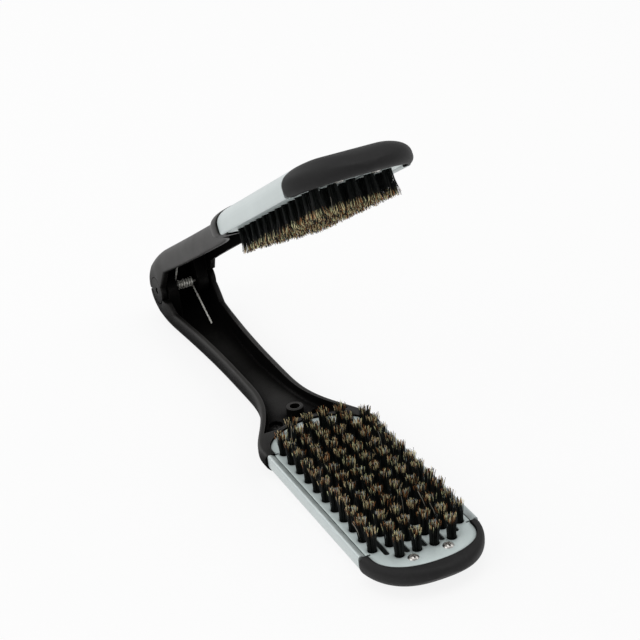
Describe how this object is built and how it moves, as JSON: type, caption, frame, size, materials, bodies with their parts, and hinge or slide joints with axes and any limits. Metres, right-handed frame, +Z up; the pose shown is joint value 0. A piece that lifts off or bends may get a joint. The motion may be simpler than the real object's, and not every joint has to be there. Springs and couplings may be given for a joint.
{
  "type": "double straightening brush",
  "caption": "Sprung double paddle brush: two bristled arms, each with a channel handle, vented plate and soft tip cap, that close over the hair on one hinge pin.",
  "frame": {"origin": "middle of the flat back of the lower paddle, the face the brush lies on", "axes": "+X along the lower arm from the hinge to the tip, +Z up out of the lower bristles, Y along the hinge pin"},
  "size_m": [0.2367, 0.0458, 0.1391],
  "materials": {
    "handle": "satin moulded nylon or ABS, near black",
    "shell": "satin silver, faintly green",
    "plate": "satin silver, faintly green",
    "bristle": "black bristle with tan tips",
    "cap": "matte black soft-touch",
    "steel": "plain bright",
    "spring_steel": "drawn wire"
  },
  "bodies": {
    "lower_arm": {"lower_handle": "handle", "lower_shell": "shell", "lower_plate": "plate", "lower_bristles": "bristle", "lower_cap": "cap", "lower_plate_screws": "steel", "lower_handle_screws": "steel", "hinge_pin": "steel", "torsion_spring": "spring_steel"},
    "upper_arm": {"upper_handle": "handle", "upper_shell": "shell", "upper_plate": "plate", "upper_bristles": "bristle", "upper_cap": "cap", "upper_plate_screws": "steel", "upper_handle_screws": "steel"}
  },
  "joints": [
    {"name": "arm_hinge", "type": "hinge", "parent": "lower_arm", "child": "upper_arm", "pos_m": [-0.16905, 0, 0.0146], "axis": [0, 1, 0], "range_deg": [0, 31], "stiffness_Nm_per_rad": 0.12, "springref_deg": -68.75, "deforming": ["torsion_spring"]}
  ]
}
